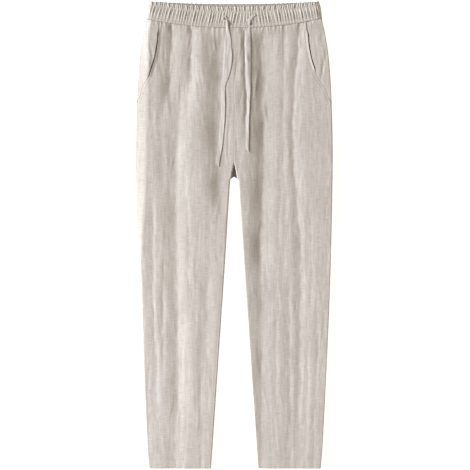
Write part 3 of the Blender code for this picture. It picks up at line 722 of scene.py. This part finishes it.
def band_front_form(u, share):
    """The laid form of the waistband's front length."""
    station = BAND_BOTTOM + (TOP - BAND_BOTTOM) * share
    outer = through(FORM, OUTER, station)
    rim = through(FORM, RIM, station)
    x = across_band(u, outer, rim, 0.035)
    bottom = BAND_BOTTOM - FRONT_DIP * towards_centre(x)
    top = TOP - 0.0012 - FRONT_TOP_DIP * towards_centre(x)
    distance = outer - np.abs(x)
    bend = np.sqrt(np.maximum(0.0, 1 - (1 - np.clip(distance / rim, 0.0, 1.0))**2))
    seam = through(FORM, SEAM, station)
    z = seam + (through(FORM, HEIGHT, station) - seam) * bend
    # Going up, the pleats lean right on the left side and left on the right side.
    lean = 0.0105 - 0.0190 * soft(-0.01, 0.07, x)
    free = soft(0.0, 1.0, distance / (0.6 * rim))
    # The elastic fills its channel, the stitches pull in beside it, and the seam stands proud.
    puff = 0.0016 * on_line(share - 0.47, 0.20) - 0.0007 * on_line(share - 0.76, 0.030)
    puff -= 0.0006 * on_line(share - 0.225, 0.025)
    puff -= 0.0005 * on_line(share - 0.15, 0.020)
    puff += 0.0007 * on_line(share - 0.07, 0.035)
    ridge = pleats(x, share, 0.0066, lean, 1.3)
    fine = pleats(x, share, 0.0037, lean * 0.7, 4.2)
    z = z + free * (puff + pinch(share) * (0.0022 * ridge + 0.0007 * fine))
    # Above the last row of stitches the heading is free, and ruffles the other way.
    ruffle = soft(0.74, 0.84, share)
    heading = pleats(x, share, 0.0049, -0.9 * lean, 3.7)
    wave = np.sin(2 * math.pi * x / 0.0104 + 2.0 * np.sin(40 * x))
    y = bottom + (top - bottom) * share + ruffle * (0.0010 * heading + 0.0004 * wave)
    z = z + ruffle * free * (0.0018 * heading + 0.0004 * wave)
    # The left tie comes out of a worked eyelet: a small hole in a raised ring.
    ring = np.hypot(x - EYELET[0], y - EYELET[1])
    z = z + 0.0019 * on_line(ring - 0.0038, 0.0013) - 0.0042 * np.exp(-(ring / 0.0019)**4)
    return (x, y, z), (x * BAND_GATHER, y)


def band_back_form(u, share):
    """The laid form of the waistband's back length."""
    station = BAND_BOTTOM + (TOP - BAND_BOTTOM) * share
    outer = through(FORM, OUTER, station)
    seam = through(FORM, SEAM, station)
    x = across_band(u, outer, BACK_BAND_ROLL, 0.025)
    bottom = BAND_BOTTOM - BACK_DIP * towards_centre(x)
    top = TOP - BACK_TOP_DIP * towards_centre(x)
    rolled = np.clip((outer - np.abs(x)) / BACK_BAND_ROLL, 0, 1)
    z = seam * (1 - np.sqrt(np.maximum(0.0, 1 - (1 - rolled)**2)))
    ridge = pleats(x, share, 0.0086, 0.004, 6.1)
    z = z + 0.0019 * (1 - ridge) * pinch(share) * rolled
    wave = np.sin(2 * math.pi * x / 0.0096)
    y = bottom + (top - bottom) * share + soft(0.8, 1.0, share) * 0.0006 * wave
    return (x, y, z), (x * BAND_GATHER, y)


# The inside faces of the back band take darker yarn colours than the outside. This is painted
# shade, standing in for the shade deep inside the casing.
band_inside_painted_shade = linen("linen_with_painted_shade", (0.50, 0.47, 0.42), (0.34, 0.315, 0.275))
band_front = lay_cloth("waistband_front_linen", 620, 64, band_front_form, [body_linen],
                       thickness=BAND_FRONT_CLOTH)
band_back = lay_cloth("waistband_back_linen", 460, 48, band_back_form, [body_linen, band_inside_painted_shade],
                      facing_down=True, thickness=BAND_BACK_CLOTH)
for band, node in ((band_front, "waistband_front"), (band_back, "waistband_back")):
    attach(band, "root")
    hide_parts(node)

# ---------------------------------------------------------------------------------------------
# The drawstring: a flat tie sewn from the same linen. Its two free ends come out of the casing
# and lie down the fronts, and both are cut at a slant.
LEFT_TIE = (
    (-0.0182, 0.4712), (-0.0165, 0.4640), (-0.0135, 0.4420), (-0.0140, 0.4160), (-0.0135, 0.3840),
    (-0.0175, 0.3510), (-0.0230, 0.3290), (-0.0240, 0.2960), (-0.0240, 0.2690), (-0.0262, 0.2400),
    (-0.0290, 0.2070), (-0.0320, 0.1850), (-0.0355, 0.1640), (-0.0370, 0.1530),
)
RIGHT_TIE = (
    (0.0450, 0.4840), (0.0360, 0.4750), (0.0300, 0.4630), (0.0300, 0.4440), (0.0302, 0.4160),
    (0.0306, 0.3840), (0.0315, 0.3400), (0.0318, 0.2900), (0.0305, 0.2600), (0.0292, 0.2200),
    (0.0286, 0.1850),
)
# Each tie along its length: place along the garment, width, and how far its right edge stands up,
# in degrees.
LEFT_WIDTHS = np.array((
    (0.153, 0.0080, 1.0), (0.190, 0.0092, 1.0), (0.260, 0.0090, 2.0), (0.300, 0.0082, 2.0),
    (0.325, 0.0086, 0.0), (0.345, 0.0120, 0.0), (0.362, 0.0165, 0.0), (0.375, 0.0185, 0.0),
    (0.400, 0.0175, 0.0), (0.425, 0.0145, 0.0), (0.440, 0.0085, 3.0), (0.455, 0.0045, 6.0),
    (0.476, 0.0040, 6.0),
))
RIGHT_WIDTHS = np.array((
    (0.185, 0.0066, 4.0), (0.215, 0.0062, 6.0), (0.250, 0.0056, 8.0), (0.285, 0.0056, 8.0),
    (0.305, 0.0072, 4.0), (0.330, 0.0096, 0.0), (0.380, 0.0124, 0.0), (0.445, 0.0130, 0.0),
    (0.462, 0.0110, 0.0), (0.471, 0.0080, 0.0), (0.484, 0.0056, 0.0),
))
TIE_CLOTH = 0.0006
TIE_END_SLANT = 0.0042
# What lies on the cloth keeps this much clear of it.
PROUD = 0.0001


def curve_through(route, step):
    """Points a step apart on a smooth curve through a route."""
    points = []
    for i in range(len(route) - 1):
        before, start = route[max(i - 1, 0)], route[i]
        end, after = route[i + 1], route[min(i + 2, len(route) - 1)]
        pieces = max(1, round(math.dist(start, end) / step))
        for piece in range(pieces):
            t = piece / pieces
            points.append(tuple(
                0.5 * (2 * b + (c - a) * t + (2 * a - 5 * b + 4 * c - d) * t * t
                       + (3 * b - a - 3 * c + d) * t**3)
                for a, b, c, d in zip(before, start, end, after)))
    return points + [route[-1]]


def cloth_top(x, y):
    """The top of the laid cloth at places on the fronts or on the waistband."""
    seam_line = BAND_BOTTOM - FRONT_DIP * towards_centre(x)
    station = y.copy()
    for _ in range(4):
        station = np.minimum(y + waist_dip(x, station), TOP)
    station = np.minimum(station, WAIST_SEAM)
    base = np.where(x < 0, front_height(-1, x, station), front_height(1, x, station))
    return base + 0.0026 * soft(0.0, 0.010, y - seam_line)


def tie_form(route, widths):
    """The laid form of a tie, and the line down its middle."""
    path = np.array(curve_through(route, 0.0015))
    x, y = path[:, 0], path[:, 1]
    heading = np.gradient(path, axis=0)
    heading /= np.linalg.norm(heading, axis=1)[:, None]
    sideways = np.column_stack((-heading[:, 1], heading[:, 0]))
    half = through(widths, 1, y) / 2
    stand = np.radians(through(widths, 2, y))
    level = cloth_top(x, y) + PROUD + TIE_CLOTH
    line = np.column_stack((x, y, level))

    def shape(u, v):
        at = (1 - v) * (len(path) - 1)
        index = np.arange(len(path))

        def read(values):
            return np.interp(at, index, values)

        across = (u - 0.5) * 2
        wide = read(half)
        turned = read(stand)
        slant = np.clip(1 - v / 0.02, 0, 1) * TIE_END_SLANT * across
        reach = across * wide * np.cos(turned)
        px = read(x) + reach * read(sideways[:, 0])
        py = read(y) + reach * read(sideways[:, 1]) - slant
        wave = 0.00020 * np.sin(v * 41 + 2 * across) + 0.00015 * np.sin(v * 17 + 1.0)
        lift = wide * np.sin(turned) * (1 + across) + 0.0004 * soft(-1.0, 0.6, across)
        pz = cloth_top(px, py) + PROUD + TIE_CLOTH + lift + np.maximum(wave, -PROUD)
        return (px, py, pz), (across * wide + 0.5, read(y))
    return shape, line


tie_linen = linen("tie_linen", (0.66, 0.63, 0.59), (0.51, 0.475, 0.435), slubs=0.9, mottle=0.6)
for word, route, widths in (("left", LEFT_TIE, LEFT_WIDTHS), ("right", RIGHT_TIE, RIGHT_WIDTHS)):
    shape, line = tie_form(route, widths)
    tie = lay_cloth("drawstring_" + word + "_tape", 12, 220, shape, [tie_linen],
                    thickness=TIE_CLOTH)
    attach(tie, "root")
    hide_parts("drawstring_" + word)

# ---------------------------------------------------------------------------------------------
# The stitching: lockstitch in linen-coloured thread through every layer. It runs along the
# waistband, round the pockets and the mock fly, up the left leg and along the turned hems, with
# short bar tacks where a seam takes the strain.
THREAD = 0.00042
STITCH_PITCH = 0.0030
STITCH_LENGTH = 0.0023
HEM_STITCH = 0.0195


def thread_paint():
    """Matt spun thread, a little uneven in colour."""
    made = bpy.data.materials.new("linen_thread")
    made.use_nodes = True
    nodes, links = made.node_tree.nodes, made.node_tree.links
    shader = nodes["Principled BSDF"]
    shader.inputs["Roughness"].default_value = 0.75
    shader.inputs["Specular IOR Level"].default_value = 0.25
    place = nodes.new("ShaderNodeTexCoord")
    spin = nodes.new("ShaderNodeTexNoise")
    spin.inputs["Scale"].default_value = 700.0
    spin.inputs["Detail"].default_value = 3.0
    tone = nodes.new("ShaderNodeMix")
    tone.data_type = "RGBA"
    tone.inputs["A"].default_value = (0.50, 0.465, 0.41, 1.0)
    tone.inputs["B"].default_value = (0.66, 0.62, 0.56, 1.0)
    twist = nodes.new("ShaderNodeBump")
    twist.inputs["Strength"].default_value = 0.4
    twist.inputs["Distance"].default_value = 0.0001
    links.new(place.outputs["Object"], spin.inputs["Vector"])
    links.new(spin.outputs["Fac"], tone.inputs["Factor"])
    links.new(tone.outputs["Result"], shader.inputs["Base Color"])
    links.new(spin.outputs["Fac"], twist.inputs["Height"])
    links.new(twist.outputs["Normal"], shader.inputs["Normal"])
    return made


thread = thread_paint()


def even_places(line, pitch):
    """The middle and the heading of each stitch along a line of points."""
    steps = np.linalg.norm(np.diff(line, axis=0), axis=1)
    run = np.concatenate(((0.0,), np.cumsum(steps)))
    middles = np.arange(pitch / 2, run[-1] + 1e-6, pitch)

    def at(distance):
        distance = np.clip(distance, 0.0, run[-1])
        return np.column_stack([np.interp(distance, run, line[:, axis]) for axis in range(3)])

    heading = at(middles + pitch / 3) - at(middles - pitch / 3)
    return at(middles), heading / np.linalg.norm(heading, axis=1)[:, None]


def sew(name, lines, pitch=STITCH_PITCH, length=STITCH_LENGTH):
    """Rows of stitches: one stitch is modelled, then copied along each line of points."""
    bpy.ops.object.select_all(action="DESELECT")
    bpy.ops.mesh.primitive_uv_sphere_add(segments=6, ring_count=4, radius=1.0)
    rows = bpy.context.object
    rows.name = name
    mesh = rows.data
    stitch = np.array([vertex.co[:] for vertex in mesh.vertices])
    sides = [tuple(polygon.vertices) for polygon in mesh.polygons]
    points, faces = [], []
    for line in lines:
        for middle, heading in zip(*even_places(np.asarray(line), pitch)):
            across = np.cross(heading, (0.0, 0.0, 1.0))
            across /= np.linalg.norm(across)
            rise = np.cross(across, heading)
            first = len(points)
            points.extend(middle + stitch[:, 2:] * heading * length / 2
                          + stitch[:, :1] * across * THREAD / 2
                          + stitch[:, 1:2] * rise * THREAD / 2)
            faces.extend(tuple(first + corner for corner in side) for side in sides)
    mesh.clear_geometry()
    mesh.from_pydata([tuple(point) for point in points], [], faces)
    mesh.materials.append(thread)
    bpy.ops.object.shade_smooth()
    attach(rows, "root")


def on_front(side, x, station):
    """Points on a front, just proud of the cloth."""
    return np.column_stack((x, station - waist_dip(x, station),
                            front_height(side, x, station) + PROUD))


def on_band(form, share, proud):
    """Points along the waistband, just proud of the cloth."""
    u = np.linspace(0.04, 0.96, 500)
    x, y, z = form(u, np.full_like(u, share))[0]
    return np.column_stack((x, y, np.maximum(z + proud, THREAD / 2)))


sew("waistband_front_stitches",
    [on_band(band_front_form, share, PROUD) for share in BAND_STITCHES])
sew("waistband_back_stitches",
    [on_band(band_back_form, share, -PROUD) for share in BAND_STITCHES])

for side, word in SIDES:
    # Round the slanted pocket.
    station = np.linspace(WAIST_SEAM - 0.001, POCKET_FOOT + 0.004, 120)
    edge = through(FORM, OUTER, station) - pocket_start(side, station)
    lines = [on_front(side, side * (edge - POCKET_STITCH), station)]
    # Along the turned hem.
    hem = np.full(80, HEM + HEM_STITCH)
    inner = through(INSIDE, EDGE, hem)
    outer = through(FORM, OUTER, hem)
    across = inner + 0.004 + (outer - inner - 0.010) * np.linspace(0.0, 1.0, 80)
    lines.append(on_front(side, side * across, hem))
    # Up the left leg, or round the fly on the right.
    if side < 0:
        station = np.linspace(-0.10, HEM + 0.002, 160)
        lines.append(on_front(side, -(through(INSIDE, EDGE, station) + LEG_STITCH), station))
    else:
        straight = np.linspace(WAIST_SEAM - 0.001, FLY_CURVE, 60)
        bend = FLY_FOOT + (FLY_CURVE - FLY_FOOT) * np.cos(np.linspace(0.0, math.pi / 2, 30))
        station = np.concatenate((straight, bend))
        lines.append(on_front(side, fly_edge(station), station))
    sew("front_" + word + "_stitches", lines)
    under = np.column_stack((side * across, hem, np.full(80, THREAD / 2)))
    sew("back_" + word + "_stitches", [under])

# Bar tacks at the foot of each pocket mouth, at the end of the fly and under the ties.
TACK_STEP = 0.0006
TACK_LENGTH = 0.0048
tacks = []
for side, _ in SIDES:
    for step in range(6):
        station = np.full(2, POCKET_MOUTH_FOOT[side] - 0.0015 + TACK_STEP * step)
        edge = through(FORM, OUTER, station) - pocket_start(side, station)
        tacks.append(on_front(side, side * (edge - np.array((0.0012, 0.0062))), station))
for step in range(4):
    station = np.full(2, FLY_FOOT + TACK_STEP * step)
    tacks.append(on_front(1, np.array((0.0058, 0.0108)), station))
for side, place in ((-1, -0.0081), (1, 0.0145)):
    for step in range(4):
        station = np.full(2, 0.4700 - TACK_STEP * step)
        tacks.append(on_front(side, place + np.array((-0.0020, 0.0030)), station))
sew("bar_tacks", tacks, pitch=0.0050, length=TACK_LENGTH)
